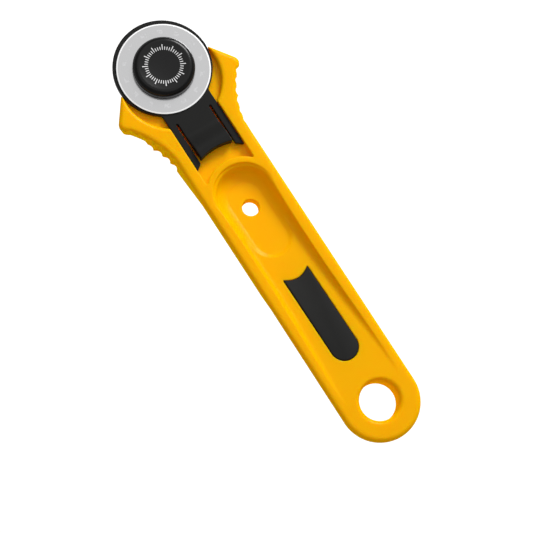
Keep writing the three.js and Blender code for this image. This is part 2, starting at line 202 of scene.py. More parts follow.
yellowPlastic = {
    "color": (0.91, 0.44, 0.0), "paler": (0.92, 0.455, 0.0), "roughness": (0.27, 0.34),
    "coat": 0.09, "matt": 0.45, "polished": 0.85, "coatRoughness": 0.22,
    "depthWeight": 0.55, "depth": 0.0028, "depthColors": (1.0, 0.2, 0.05),
    "moodScale": 60.0, "wear": (240.0, 5.0), "grain": (2600.0, 2.0), "grainHeight": 0.000006,
}


def handlePlastic():
    look = yellowPlastic
    material, tree, shader = startMaterial("handlePlastic", look["color"], look["roughness"][1])
    mood = noise(tree, look["moodScale"])
    tree.links.new(blendColors(tree, mood, look["color"], look["paler"]), shader.inputs["Base Color"])
    tree.links.new(scaled(tree, noise(tree, *look["wear"]), *look["roughness"]), shader.inputs["Roughness"])
    shader.inputs["Specular IOR Level"].default_value = 0.0
    # only the front is polished, the walls and the back are matt
    normal = addNode(tree, "ShaderNodeTexCoord").outputs["Normal"]
    facing = addNode(tree, "ShaderNodeSeparateXYZ", {0: normal})
    polish = addNode(tree, "ShaderNodeMapRange", {"Value": facing.outputs["Z"], "From Min": look["matt"],
                                                  "From Max": look["polished"], "To Max": look["coat"]})
    tree.links.new(polish.outputs[0], shader.inputs["Coat Weight"])
    shader.inputs["Coat Roughness"].default_value = look["coatRoughness"]
    shader.inputs["Subsurface Weight"].default_value = look["depthWeight"]
    shader.inputs["Subsurface Scale"].default_value = look["depth"]
    shader.inputs["Subsurface Radius"].default_value = look["depthColors"]
    addBump(tree, shader, noise(tree, *look["grain"]), look["grainHeight"])
    return material


blackLook = {
    "lighter": 1.35, "cloud": (90.0, 4.0), "wear": (300.0, 4.0), "wearSpread": 0.05, "grainDetail": 2.0,
}


def blackPlastic(name, color, roughness, grainScale, grainHeight, specular):
    look = blackLook
    material, tree, shader = startMaterial(name, color, roughness)
    lighter = tuple(look["lighter"] * c for c in color)
    cloud = noise(tree, *look["cloud"])
    tree.links.new(blendColors(tree, cloud, color, lighter), shader.inputs["Base Color"])
    spread = look["wearSpread"]
    wear = scaled(tree, noise(tree, *look["wear"]), roughness - spread, roughness + spread)
    tree.links.new(wear, shader.inputs["Roughness"])
    shader.inputs["Specular IOR Level"].default_value = specular
    addBump(tree, shader, noise(tree, grainScale, look["grainDetail"]), grainHeight)
    return material


capPrint = {
    "plastic": (0.004, 0.004, 0.004), "gloss": (0.24, 0.5), "specular": 0.25,
    "ink": (0.86, 0.86, 0.86), "inner": 4.75, "outer": 6.45, "shortOuter": 5.75, "above": 2.6,
    "count": 48, "inkShare": 0.30, "longEvery": 4, "soft": 0.05, "longLead": 0.01, "longSoft": 0.002,
    "grainScale": 1500.0, "grainShare": 0.25, "grainHeight": 0.00001,
}


# a dial of plain ticks, every fourth one long
def capPlastic():
    look = capPrint
    material, tree, shader = startMaterial("capPlastic", look["plastic"], look["gloss"][0])
    shader.inputs["Specular IOR Level"].default_value = look["specular"]
    radius, turn, height = roundBolt(tree)
    step = maths(tree, "FRACT", maths(tree, "MULTIPLY", turn, look["count"]))
    longStep = maths(tree, "FRACT", maths(tree, "MULTIPLY", turn, look["count"] / look["longEvery"]))
    half = look["inkShare"] / 2
    tick = between(tree, step, 0.5 - half, 0.5 + half, look["soft"])
    isLong = between(tree, longStep, -look["longLead"], 1 / look["longEvery"], look["longSoft"])
    shortBand = between(tree, radius, look["inner"], look["shortOuter"], look["soft"])
    longBand = between(tree, radius, look["inner"], look["outer"], look["soft"])
    band = maths(tree, "MAXIMUM", shortBand, maths(tree, "MULTIPLY", longBand, isLong))
    onTop = maths(tree, "GREATER_THAN", height, look["above"])
    ink = maths(tree, "MULTIPLY", maths(tree, "MULTIPLY", tick, band), onTop)
    tree.links.new(blendColors(tree, ink, look["plastic"], look["ink"]), shader.inputs["Base Color"])
    tree.links.new(scaled(tree, ink, *look["gloss"]), shader.inputs["Roughness"])
    grain = scaled(tree, noise(tree, look["grainScale"]), 0.0, look["grainShare"])
    addBump(tree, shader, maths(tree, "ADD", ink, grain), look["grainHeight"])
    return material


# the "ground" colour is a painted highlight: the blade's edge bevel is painted near white
bladeLook = {
    "flat": (0.575, 0.575, 0.58), "ground": (0.98, 0.98, 0.98), "mark": (0.66, 0.66, 0.67),
    "roughness": 0.19, "smoother": 0.03, "rougher": 0.04, "bevelFrom": 13.6, "bevelRougher": 0.3,
    "linesAcross": 14.0, "linesRound": 6.0, "lineDetail": 5.0, "lineHeight": 0.25,
    "markRing": (10.9, 12.2), "markRingSoft": 0.1, "markCount": 14, "markFrom": 0.3, "markTo": 0.64,
    "markSoft": 0.03, "markStrength": 0.7, "markHeight": 0.3, "stroke": (1500.0, 1.0), "strokeFrom": 0.52,
    "grainHeight": 0.000004,
}


# fine turned lines, faint marks in a ring, and a painted highlight: the edge bevel is painted near white
# instead of shining as steel
def bladeSteel():
    look = bladeLook
    material, tree, shader = startMaterial("bladeSteel", look["flat"], look["roughness"], 1.0)
    radius, turn = roundBolt(tree)[:2]
    ring = addNode(tree, "ShaderNodeCombineXYZ", {0: maths(tree, "MULTIPLY", radius, look["linesAcross"]),
                                                  1: maths(tree, "MULTIPLY", turn, look["linesRound"])})
    lines = noise(tree, 1.0, look["lineDetail"], ring.outputs[0])
    step = maths(tree, "FRACT", maths(tree, "MULTIPLY", turn, look["markCount"]))
    strokes = maths(tree, "GREATER_THAN", noise(tree, *look["stroke"]), look["strokeFrom"])
    mark = maths(tree, "MULTIPLY", between(tree, step, look["markFrom"], look["markTo"], look["markSoft"]),
                 between(tree, radius, *look["markRing"], look["markRingSoft"]))
    mark = maths(tree, "MULTIPLY", mark, strokes)
    # the bevel ring past bevelFrom gets the painted highlight: near-white colour, not metallic, rougher
    paintedHighlightBevel = maths(tree, "GREATER_THAN", radius, look["bevelFrom"])
    flat = blendColors(tree, maths(tree, "MULTIPLY", mark, look["markStrength"]), look["flat"], look["mark"])
    tree.links.new(blendColors(tree, paintedHighlightBevel, flat, look["ground"]), shader.inputs["Base Color"])
    sheen = scaled(tree, lines, look["roughness"] - look["smoother"], look["roughness"] + look["rougher"])
    sheen = maths(tree, "ADD", sheen, maths(tree, "MULTIPLY", paintedHighlightBevel, look["bevelRougher"]))
    tree.links.new(sheen, shader.inputs["Roughness"])
    tree.links.new(maths(tree, "SUBTRACT", 1.0, paintedHighlightBevel), shader.inputs["Metallic"])
    height = maths(tree, "SUBTRACT", maths(tree, "MULTIPLY", lines, look["lineHeight"]),
                   maths(tree, "MULTIPLY", mark, look["markHeight"]))
    addBump(tree, shader, height, look["grainHeight"])
    return material


metalLook = {
    "darker": 0.8, "cloudDetail": 6.0, "wearScale": 3, "wearDetail": 4.0, "smoother": 0.07, "rougher": 0.1,
    "grainScale": 8, "grainDetail": 3.0, "grainHeight": 0.000006,
}


def metal(name, color, roughness, scale):
    look = metalLook
    material, tree, shader = startMaterial(name, color, roughness, 1.0)
    darker = tuple(look["darker"] * c for c in color)
    cloud = noise(tree, scale, look["cloudDetail"])
    tree.links.new(blendColors(tree, cloud, color, darker), shader.inputs["Base Color"])
    wear = noise(tree, scale * look["wearScale"], look["wearDetail"])
    wear = scaled(tree, wear, roughness - look["smoother"], roughness + look["rougher"])
    tree.links.new(wear, shader.inputs["Roughness"])
    addBump(tree, shader, noise(tree, scale * look["grainScale"], look["grainDetail"]), look["grainHeight"])
    return material


# modelling helpers, in mm round the bolt

mergeDistance = 0.002
sameLevel = 0.001
onPlane = 0.01
smoothUpTo = 38  # degrees between faces


def deselectAll():
    if bpy.context.object and bpy.context.object.mode != "OBJECT":
        bpy.ops.object.mode_set(mode="OBJECT")
    bpy.ops.object.select_all(action="DESELECT")


def makeActive(piece):
    deselectAll()
    piece.select_set(True)
    bpy.context.view_layer.objects.active = piece


def editAll(piece):
    makeActive(piece)
    bpy.ops.object.mode_set(mode="EDIT")
    bpy.ops.mesh.select_all(action="SELECT")


# extrudes one vertex from point to point
def drawChain(name, points, closed):
    deselectAll()
    bpy.ops.mesh.primitive_plane_add(size=0.1)
    piece = bpy.context.object
    piece.name = name
    bpy.ops.object.mode_set(mode="EDIT")
    bpy.ops.mesh.select_mode(type="VERT")
    bpy.ops.mesh.select_all(action="SELECT")
    bpy.ops.mesh.merge(type="CENTER")
    bpy.ops.transform.translate(value=points[0])
    route = points + [points[0]] if closed else points
    for start, end in zip(route, route[1:]):
        bpy.ops.mesh.extrude_region_move(TRANSFORM_OT_translate={"value": end - start})
    bpy.ops.mesh.select_all(action="SELECT")
    bpy.ops.mesh.remove_doubles(threshold=mergeDistance)
    bpy.ops.object.mode_set(mode="OBJECT")
    return piece


def prism(name, outline, bottom, top):
    piece = drawChain(name, [Vector((x, y, bottom)) for x, y in outline], True)
    editAll(piece)
    bpy.ops.mesh.edge_face_add()
    bpy.ops.mesh.extrude_region_move(TRANSFORM_OT_translate={"value": (0, 0, top - bottom)})
    bpy.ops.mesh.select_all(action="SELECT")
    bpy.ops.mesh.normals_make_consistent(inside=False)
    bpy.ops.object.mode_set(mode="OBJECT")
    return piece


# a profile of (radius, z) spun round the z axis; it closes on itself or ends on the axis
def spun(name, profile, steps=160, at=(0, 0)):
    closed = profile[0][0] > 0
    piece = drawChain(name, [Vector((r, 0, z)) for r, z in profile], closed)
    editAll(piece)
    bpy.ops.mesh.spin(steps=steps, angle=2 * math.pi, center=(0, 0, 0), axis=(0, 0, 1))
    bpy.ops.mesh.select_all(action="SELECT")
    bpy.ops.mesh.remove_doubles(threshold=mergeDistance)
    bpy.ops.mesh.normals_make_consistent(inside=False)
    bpy.ops.transform.translate(value=(at[0], at[1], 0))
    bpy.ops.object.mode_set(mode="OBJECT")
    return piece


def selectEdges(piece, wanted):
    editAll(piece)
    bpy.ops.mesh.select_mode(type="EDGE")
    bpy.ops.mesh.select_all(action="DESELECT")
    bpy.ops.object.mode_set(mode="OBJECT")
    corners = piece.data.vertices
    for edge in piece.data.edges:
        edge.select = wanted(corners[edge.vertices[0]].co, corners[edge.vertices[1]].co)
    bpy.ops.object.mode_set(mode="EDIT")


def selectFaces(piece, wanted):
    editAll(piece)
    bpy.ops.mesh.select_mode(type="FACE")
    bpy.ops.mesh.select_all(action="DESELECT")
    bpy.ops.object.mode_set(mode="OBJECT")
    for face in piece.data.polygons:
        face.select = wanted(face)
    bpy.ops.object.mode_set(mode="EDIT")


def facesDown(face):
    return face.normal.z < -0.9


def roundRim(piece, level, width, segments):
    selectEdges(piece, lambda a, b: abs(a.z - level) < sameLevel and abs(b.z - level) < sameLevel)
    bpy.ops.mesh.bevel(offset=width, segments=segments, affect="EDGES", profile=0.5)
    bpy.ops.object.mode_set(mode="OBJECT")


def applyModifier(piece, kind, **settings):
    makeActive(piece)
    modifier = piece.modifiers.new(kind.lower(), kind)
    for key, value in settings.items():
        setattr(modifier, key, value)
    bpy.ops.object.modifier_apply(modifier=modifier.name)


def combine(piece, tool, operation="DIFFERENCE"):
    applyModifier(piece, "BOOLEAN", operation=operation, object=tool, solver="EXACT")
    bpy.data.objects.remove(tool)


def joined(pieces):
    makeActive(pieces[0])
    for piece in pieces[1:]:
        piece.select_set(True)
    bpy.ops.object.join()
    return bpy.context.object


# melts all edges a little, as a mould does
def soften(piece, voxel, passes, mostTriangles):
    applyModifier(piece, "REMESH", mode="VOXEL", voxel_size=voxel, adaptivity=0.0)
    applyModifier(piece, "SMOOTH", factor=0.5, iterations=passes)
    triangles = 2 * len(piece.data.polygons)
    if triangles > mostTriangles:
        applyModifier(piece, "DECIMATE", ratio=mostTriangles / triangles)


def settle(piece, material, body, slot, *nodes):
    makeActive(piece)
    piece.scale = (mm, mm, mm)
    piece.location = home
    bpy.ops.object.transform_apply(location=True, rotation=True, scale=True)
    bpy.ops.object.shade_smooth_by_angle(angle=math.radians(smoothUpTo))
    piece.data.materials.clear()
    piece.data.materials.append(material)
    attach(piece, body)
    if nodes:
        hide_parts(*nodes)
    print(piece.name, "done,", sum(len(p.vertices) - 2 for p in piece.data.polygons), "triangles")


def arc(centreX, centreY, radius, start, end, steps=24):
    angles = [math.radians(start + (end - start) * i / steps) for i in range(steps + 1)]
    return [(centreX + radius * math.cos(a), centreY + radius * math.sin(a)) for a in angles]


def bezier(corners, steps=20):
    points = []
    for i in range(steps + 1):
        level = [Vector(c) for c in corners]
        while len(level) > 1:
            level = [a.lerp(b, i / steps) for a, b in zip(level, level[1:])]
        points.append(tuple(level[0]))
    return points


def mirrored(half):
    return half + [(-x, y) for x, y in reversed(half) if abs(x) > sameLevel]


def obround(halfWidth, topY, bottomY, steps=32):
    return arc(0, topY, halfWidth, 0, 180, steps) + arc(0, bottomY, halfWidth, 180, 360, steps)


def drillBit(name, radius, at, bottom, top, steps=96):
    return spun(name, [(0, bottom), (radius, bottom), (radius, top), (0, top)], steps, at)


# handle

handleLow, handleHigh = span("handle_body")
guardLow, guardHigh = span("blade_guard")
handle = {
    "front": handleHigh.z, "back": handleLow.z, "shoulder": handleHigh.x,
    "halfWidth": 12.1, "tail": -116.5, "headTop": 9.16, "headTopHalf": 8.0, "headCorner": 3.0,
    "shoulderTip": (1.15, -9.6), "shoulderIn": 3.0,
    "gripStart": (-1.9, -11.35), "gripEnd": -28.5, "gripSetOut": (-2.55, -3.25), "gripRunOut": 8.0,
    "gripSteps": 28,
    "frontRound": 1.55, "frontRoundSteps": 7, "backRound": 2.0, "backRoundSteps": 5, "backRoundReach": 0.85,
    "draftTop": -1.35, "draft": 1.36,
    "uprightTop": -11.3, "uprightFrom": (15.2, -18.0), "uprightRound": 1.2, "uprightRoundSteps": 4,
    "uprightSides": [(11.3, -40), (11.2, -72), (10.7, -84)],
    "fluteFirst": 0.1, "flutePitch": 3.15, "fluteCount": 6, "fluteRadius": 1.5, "fluteDepth": 1.0,
    # each level of a flute's wall: how much thinner the cutter is there, and the level
    "fluteWall": [(0.7, -13), (0.2, -9), (0.0, -6), (0.03, -4), (0.2, -2), (0.5, -0.8), (0.85, 0.6)],
    "recessFloor": -2.35, "recessRadius": 15.06, "recessCentre": -3.9, "recessReach": 20,
    "recessFlare": [(0, -1.1), (0.1, -0.6), (0.4, -0.2), (1.1, 0.02)],  # out from the wall, over the front
    "channelHalf": 8.3, "channelEnd": -33.5, "channelEndRadius": 11.4,
    "tonguePocketHalf": 6.4, "tonguePocketEnds": (-27.5, -15.8), "tonguePocketLevels": (-4.95, 0),
    "dishTop": -45.2, "dishLength": 14.3, "dishHalf": 9.5, "dishTilt": 4.3,
    "dishLevels": (0.05, 7), "dishPivot": 4,
    "dishWall": [(0.5, 0.2), (0.35, 0.35), (0.2, 0.6), (0.15, 0.75), (0.3, 0.75), (0.5, 0.7), (0.7, 0.5),
                 (0.9, 0.45), (0.9, 0.33)],  # each step in and down
    "panelHalf": 8.4, "panelTop": -58.0, "panelEnd": -113.0, "panelDeepAt": -65.0, "panelDepth": 2.65,
    "panelRound": 2.0, "panelSide": [(8.5, -75), (8.8, -85), (9.4, -95), (10.3, -107), (11.1, -114.5)],
    "panelCutLow": -8, "panelOpenAt": -114, "panelShortEdge": 5,
    "pocketRadius": 10.0, "pocketLevel": -6.0, "smallHole": 2.56, "smallHoleY": -48.5,
    "tailHole": 5.83, "tailHoleRound": 1.5, "shaftHole": 2.6,
    "backRecess": (6.5, -66.0, -98.0), "backRecessDepth": 0.8,
    "cutLow": -20, "cutHigh": 6, "strayBelow": 1,
    "voxel": 0.22, "passes": 4, "mostTriangles": 190000,
}


def along(start, end, distance):
    start, end = Vector(start), Vector(end)
    return tuple(start + (end - start).normalized() * distance)


def shoulderTip():
    return (handle["shoulder"] + handle["shoulderTip"][0], handle["shoulderTip"][1])


def gripCorners():
    start = (handle["shoulder"] + handle["gripStart"][0], handle["gripStart"][1])
    setOut = (start[0] + handle["gripSetOut"][0], start[1] + handle["gripSetOut"][1])
    return [start, setOut, (handle["halfWidth"], handle["gripEnd"] + handle["gripRunOut"]),
            (handle["halfWidth"], handle["gripEnd"])]


def handleOutline():
    corner = (handle["headTopHalf"], handle["headTop"])
    tip = shoulderTip()
    half = [(0, handle["headTop"])]
    before, after = along(corner, half[0], handle["headCorner"]), along(corner, tip, handle["headCorner"])
    half += bezier([before, corner, after], 12)
    half += bezier([along(tip, corner, handle["shoulderIn"]), tip, gripCorners()[0]], 16)
    half += bezier(gripCorners(), handle["gripSteps"])[1:]
    half += arc(0, handle["tail"], handle["halfWidth"], 0, -90, 40)
    return mirrored(half)


def fluteCutter():
    points = [Vector(p) for p in bezier(gripCorners(), 200)]
    wall = [(handle["fluteRadius"] - less, level) for less, level in handle["fluteWall"]]
    profile = [(0, wall[0][1])] + wall + [(0, wall[-1][1])]
    cutters = []
    done = 0.0
    reach = handle["fluteRadius"] - handle["fluteDepth"]
    for a, b in zip(points, points[1:]):
        done += (b - a).length
        nextOne = len(cutters) // 2
        if done < handle["fluteFirst"] + nextOne * handle["flutePitch"] or nextOne == handle["fluteCount"]:
            continue
        direction = (b - a).normalized()
        centre = b + Vector((-direction.y, direction.x)) * reach
        for side in (-1, 1):
            cutters.append(spun("flute", profile, 40, (side * centre.x, centre.y)))
    return joined(cutters)


def recessCutter():
    top, reachY = handle["cutHigh"], handle["recessReach"]
    disc = mirrored([(0, reachY), (handle["recessRadius"], reachY)]
                    + arc(0, handle["recessCentre"], handle["recessRadius"], 0, -90, 48))
    piece = prism("recess", disc, handle["recessFloor"], top)
    reach = math.degrees(math.asin(handle["channelHalf"] / handle["channelEndRadius"]))
    endY = handle["channelEnd"] - handle["channelEndRadius"]
    channel = mirrored([(0, handle["recessCentre"]), (handle["channelHalf"], handle["recessCentre"])]
                       + arc(0, endY, handle["channelEndRadius"], 90 - reach, 90, 16))
    combine(piece, prism("channel", channel, handle["recessFloor"], top), "UNION")
    return piece


# the recess's upper edge
def recessFlareCutter():
    flare = [(handle["recessRadius"] + out, handle["front"] + level) for out, level in handle["recessFlare"]]
    flare = [(0, flare[0][1])] + flare + [(flare[-1][0], handle["cutHigh"]), (0, handle["cutHigh"])]
    return spun("recessFlare", flare, 160, (0, handle["recessCentre"]))


# room under the guard's tongue for it to bend
def tonguePocketCutter():
    half = handle["tonguePocketHalf"]
    low, high = handle["tonguePocketEnds"]
    return prism("tonguePocket", [(-half, low), (half, low), (half, high), (-half, high)],
                 *handle["tonguePocketLevels"])


# a tilted oval that is deepest towards the head
def dishCutter():
    outline = obround(handle["dishHalf"], handle["dishTop"], handle["dishTop"] - handle["dishLength"])
    lift, high = handle["dishLevels"]
    dish = prism("dish", outline, handle["front"] + lift, high)
    selectFaces(dish, facesDown)
    for inward, down in handle["dishWall"]:
        bpy.ops.mesh.inset(thickness=inward, depth=down, use_even_offset=True)
    bpy.ops.mesh.select_all(action="SELECT")
    bpy.ops.transform.rotate(value=math.radians(handle["dishTilt"]), orient_axis="X",
                             center_override=(0, handle["dishTop"], handle["front"] - handle["dishPivot"]))
    bpy.ops.object.mode_set(mode="OBJECT")
    return dish


# the hanging hole, rounded at both faces
def tailHoleCutter():
    flare = handle["tailHoleRound"]
    wide = handle["tailHole"] + flare
    hole = [(0, handle["cutLow"]), (wide, handle["cutLow"]), (wide, handle["back"])]
    hole += [(wide - x, handle["back"] + flare - y) for x, y in arc(0, 0, flare, 90, 0, 8)]
    hole += [(wide - x, handle["front"] - flare + y) for x, y in arc(0, 0, flare, 0, 90, 8)]
    hole += [(wide, handle["front"]), (wide, handle["cutHigh"]), (0, handle["cutHigh"])]
    return spun("tailHole", hole, 120, (0, handle["tail"]))


# the sunk panel's floor rises from its deep end to the front
def panelFloor(y):
    part = (y - handle["panelEnd"]) / (handle["panelDeepAt"] - handle["panelEnd"])
    return handle["front"] - handle["panelDepth"] * part


def panelCutter():
    side = handle["panelHalf"]
    outline = arc(0, handle["panelTop"], side, 0, 180, 48) + [(-x, y) for x, y in handle["panelSide"]]
    outline += handle["panelSide"][::-1]
    piece = prism("panel", outline, handle["panelCutLow"], handle["cutHigh"])
    slope = panelFloor(1) - panelFloor(0)
    editAll(piece)
    bpy.ops.mesh.bisect(plane_co=(0, 0, panelFloor(0)), plane_no=(0, -slope, 1), use_fill=True,
                        clear_inner=True)

    def onFloor(p):
        return abs(p.z - panelFloor(p.y)) < onPlane and p.y > handle["panelOpenAt"]

    selectEdges(piece, lambda a, b: (onFloor(a) or onFloor(b)) and abs(a.z - b.z) < handle["panelShortEdge"])
    bpy.ops.mesh.bevel(offset=handle["panelRound"], segments=8, affect="EDGES", profile=0.5)
    bpy.ops.object.mode_set(mode="OBJECT")
    return piece


insert = {
    "halfWidth": 4.2, "top": -72.1, "length": 30.0, "notch": 3.5, "proud": 0.12, "depth": 2.4, "edge": 0.3,
    "gap": 0.12, "gapBelow": 0.2,
    "plastic": {"color": (0.011, 0.011, 0.0105), "roughness": 0.6, "specular": 0.15,
                "grainScale": 2200.0, "grainHeight": 0.00002},
}


def insertOutline(grow):
    half = insert["halfWidth"] + grow
    topY = insert["top"] + grow
    endY = insert["top"] - insert["length"] + insert["halfWidth"]
    notch = bezier([(half, topY), (0, topY - insert["notch"]), (-half, topY)], 24)
    return notch + arc(0, endY, half, 180, 360, 32)


# the sides close in towards the back, except along the grips
def draftedBody():
    body = prism("handleMoulding", handleOutline(), handle["draftTop"], handle["front"])
    selectFaces(body, facesDown)
    depth = handle["draftTop"] - handle["back"]
    edge = handle["backRound"]
    straight = depth - edge
    bpy.ops.mesh.inset(thickness=handle["draft"] * straight / depth, depth=straight, use_even_offset=True)
    stepTurn = math.radians(90 / handle["backRoundSteps"])
    for part in range(handle["backRoundSteps"]):
        last, turn = stepTurn * part, stepTurn * (part + 1)
        bpy.ops.mesh.inset(thickness=edge * (math.cos(last) - math.cos(turn)) * handle["backRoundReach"],
                           depth=edge * (math.sin(turn) - math.sin(last)), use_even_offset=True)
    bpy.ops.object.mode_set(mode="OBJECT")
    wide, below = handle["uprightFrom"]
    sides = handle["uprightSides"]
    grips = [(0, handle["uprightTop"]), (wide, handle["uprightTop"]), (wide, below)]
    grips += [p for p in bezier(gripCorners(), handle["gripSteps"]) if p[1] < below and p[0] < wide]
    grips += sides + [(0, sides[-1][1])]
    block = prism("gripStretch", mirrored(grips), handle["back"], handle["front"] - handle["frontRound"])
    roundRim(block, handle["back"], handle["uprightRound"], handle["uprightRoundSteps"])
    combine(body, block, "UNION")
    return body


def makeHandle():
    low, high = handle["cutLow"], handle["cutHigh"]
    body = draftedBody()
    roundRim(body, handle["front"], handle["frontRound"], handle["frontRoundSteps"])
    combine(body, fluteCutter())
    combine(body, recessCutter())
    combine(body, recessFlareCutter())
    combine(body, dishCutter())
    combine(body, tonguePocketCutter())
    combine(body, panelCutter())
    floor = panelFloor(insert["top"]) - insert["depth"] - insert["gapBelow"]
    combine(body, prism("insertPocket", insertOutline(insert["gap"]), floor, high))
    combine(body, drillBit("nutPocket", handle["pocketRadius"], (0, 0), low, handle["pocketLevel"]))
    combine(body, drillBit("shaftHole", handle["shaftHole"], (0, 0), low, high))
    combine(body, drillBit("smallHole", handle["smallHole"], (0, handle["smallHoleY"]), low, high))
    combine(body, tailHoleCutter())
    half, top, bottom = handle["backRecess"]
    recessLevel = handle["back"] + handle["backRecessDepth"]
    combine(body, prism("backRecess", obround(half, top, bottom), low, recessLevel))
    # clears what a cutter may leave behind the handle
    editAll(body)
    strayLevel = handle["back"] - handle["strayBelow"]
    bpy.ops.mesh.bisect(plane_co=(0, 0, strayLevel), plane_no=(0, 0, 1), clear_inner=True)
    bpy.ops.object.mode_set(mode="OBJECT")
    soften(body, handle["voxel"], handle["passes"], handle["mostTriangles"])
    settle(body, handlePlastic(), "handle", "handle_plastic", "handle_body")


def makeInsert():
    slope = panelFloor(1) - panelFloor(0)
    bottom = panelFloor(insert["top"]) - insert["depth"]
    piece = prism("gripInlay", insertOutline(0), bottom, handle["cutHigh"])
    editAll(piece)
    level = panelFloor(0) + insert["proud"]
    bpy.ops.mesh.bisect(plane_co=(0, 0, level), plane_no=(0, -slope, 1), use_fill=True, clear_outer=True)

    def onTop(p):
        return abs(p.z - panelFloor(p.y) - insert["proud"]) < onPlane

    selectEdges(piece, lambda a, b: onTop(a) and onTop(b))
    bpy.ops.mesh.bevel(offset=insert["edge"], segments=3, affect="EDGES", profile=0.5)
    bpy.ops.object.mode_set(mode="OBJECT")
    settle(piece, blackPlastic("insertPlastic", **insert["plastic"]), "handle", "insert_plastic",
           "grip_insert")


# blade guard

guard = {
    "floor": guardLow.z, "top": -0.55, "radius": guardHigh.x, "centre": guardHigh.y - guardHigh.x,
    "neckHalf": 8.1, "fillet": 1.2, "tongueHalf": 5.4, "slit": 0.75, "slitTop": -16.3, "slitRoundDrop": 0.45,
    "tongueEnd": -28.5, "endSag": 0.9, "legExtra": 3.15, "legSlant": 1.45,
    "lipTop": guardHigh.z, "lipStart": -20.5, "lipFull": -27.5, "lipBow": 0.5, "lipRoot": 0.2, "lipSpare": 1,
    "rampHalf": 8, "rampEnd": -34, "rampLow": -4, "rampSink": 0.02, "rampSteps": 24,
    "slotHalf": 4.1, "slotLevels": (-5, 5), "travel": 4.5,
    "voxel": 0.14, "passes": 2, "mostTriangles": 150000,
    "plastic": {"color": (0.008, 0.008, 0.0075), "roughness": 0.45, "specular": 0.12,
                "grainScale": 1800.0, "grainHeight": 0.000012},
}


def guardOutline():
    filletX = guard["neckHalf"] + guard["fillet"]
    apart = guard["radius"] + guard["fillet"]
    reach = math.degrees(math.asin(filletX / apart))
    filletY = guard["centre"] - apart * math.cos(math.radians(reach))
    half = arc(0, guard["centre"], guard["radius"], 90, -90 + reach, 80)
    half += arc(filletX, filletY, guard["fillet"], 90 + reach, 180, 8)
    legEnd = guard["tongueEnd"] - guard["legExtra"]
    slitSide = guard["tongueHalf"] + guard["slit"]
    slitRoundY = guard["slitTop"] - guard["slitRoundDrop"]
    half += [(guard["neckHalf"], legEnd), (slitSide, legEnd + guard["legSlant"]), (slitSide, slitRoundY)]
    half += arc(guard["tongueHalf"] + guard["slit"] / 2, slitRoundY, guard["slit"] / 2, 0, 180, 8)[1:]
    half += tongueHalfEnd()
    return mirrored(half)


def tongueHalfEnd():
    side = guard["tongueHalf"]
    return bezier([(side, guard["tongueEnd"] - guard["endSag"]), (side / 2, guard["tongueEnd"]),
                   (0, guard["tongueEnd"])], 12)


# what the thumb lip is cut out of: its top rises smoothly along the tongue
def lipRamp():
    side, end, low = -guard["rampHalf"], guard["rampEnd"], guard["rampLow"]
    rise = guard["lipTop"] - guard["top"]
    ramp = []
    for i in range(guard["rampSteps"] + 1):
        part = i / guard["rampSteps"]
        y = guard["lipStart"] + part * (guard["lipFull"] - guard["lipStart"])
        ramp.append(Vector((side, y, guard["top"] - guard["rampSink"] + rise * part * part * (3 - 2 * part))))
    ramp += [Vector((side, end, guard["lipTop"])), Vector((side, end, low))]
    ramp += [Vector((side, guard["lipStart"], low))]
    piece = drawChain("lipRamp", ramp, True)
    editAll(piece)
    bpy.ops.mesh.edge_face_add()
    bpy.ops.mesh.extrude_region_move(TRANSFORM_OT_translate={"value": (2 * guard["rampHalf"], 0, 0)})
    bpy.ops.mesh.select_all(action="SELECT")
    bpy.ops.mesh.normals_make_consistent(inside=False)
    bpy.ops.object.mode_set(mode="OBJECT")
    return piece


def makeGuard():
    body = prism("guardMoulding", guardOutline(), guard["floor"], guard["top"])
    lipOutline = [(0, guard["lipStart"]), (guard["tongueHalf"], guard["lipStart"] - guard["lipBow"])]
    lipOutline = mirrored(lipOutline + tongueHalfEnd())
    lip = prism("lip", lipOutline, guard["floor"] + guard["lipRoot"], guard["lipTop"] + guard["lipSpare"])
    combine(lip, lipRamp(), "INTERSECT")
    combine(body, lip, "UNION")
    combine(body, prism("slot", obround(guard["slotHalf"], guard["travel"], 0), *guard["slotLevels"]))
    soften(body, guard["voxel"], guard["passes"], guard["mostTriangles"])
    settle(body, blackPlastic("guardPlastic", **guard["plastic"]), "guard", "guard_plastic", "blade_guard")


# blade, cap, bolt, washers and nut

def makeBlade():
    low, high = span("cutting_blade")
    blade = {"radius": high.x, "bore": 4.0, "bevel": 0.9, "ground": 0.4, "flatEdge": 0.04, "halfEdge": 0.01,
             "steps": 256}
    ground = blade["radius"] - blade["ground"]
    middle = low.z / 2
    profile = [(blade["bore"], low.z), (blade["radius"] - blade["bevel"], low.z),
               (blade["radius"], middle - blade["halfEdge"]), (blade["radius"], middle + blade["halfEdge"]),
               (ground, high.z), (ground - blade["flatEdge"], high.z),
               (blade["bore"] + blade["flatEdge"], high.z), (blade["bore"], high.z)]
    settle(spun("bladeDisc", profile, blade["steps"]), bladeSteel(), "blade", "blade_steel", "cutting_blade")


def makeCap():
    low, high = span("pivot_cap")
    cap = {"inset": 0.08, "underside": 0.1, "hub": 3.9, "bore": 2.6, "boreDepth": 3.2, "edge": 1.75,
           "lowEdge": 0.2, "dip": 0.05, "rimWidth": 0.25, "rimSlope": 0.15, "steps": 200}
    radius = high.x - cap["inset"]
    curve = radius - cap["edge"]
    inner = curve - cap["rimWidth"]
    profile = [(0, low.z + cap["boreDepth"]), (cap["bore"], low.z + cap["boreDepth"]), (cap["bore"], low.z),
               (cap["hub"], low.z), (cap["hub"], cap["underside"]),
               (radius - cap["lowEdge"], cap["underside"]), (radius, cap["underside"] + cap["lowEdge"])]
    profile += [(curve + x, high.z - cap["edge"] + y) for x, y in arc(0, 0, cap["edge"], 0, 90, 12)]
    profile += [(inner + cap["rimSlope"], high.z), (inner, high.z - cap["dip"]), (0, high.z - cap["dip"])]
    settle(spun("capMoulding", profile, cap["steps"]), capPlastic(), "handle", "cap_plastic", "pivot_cap")


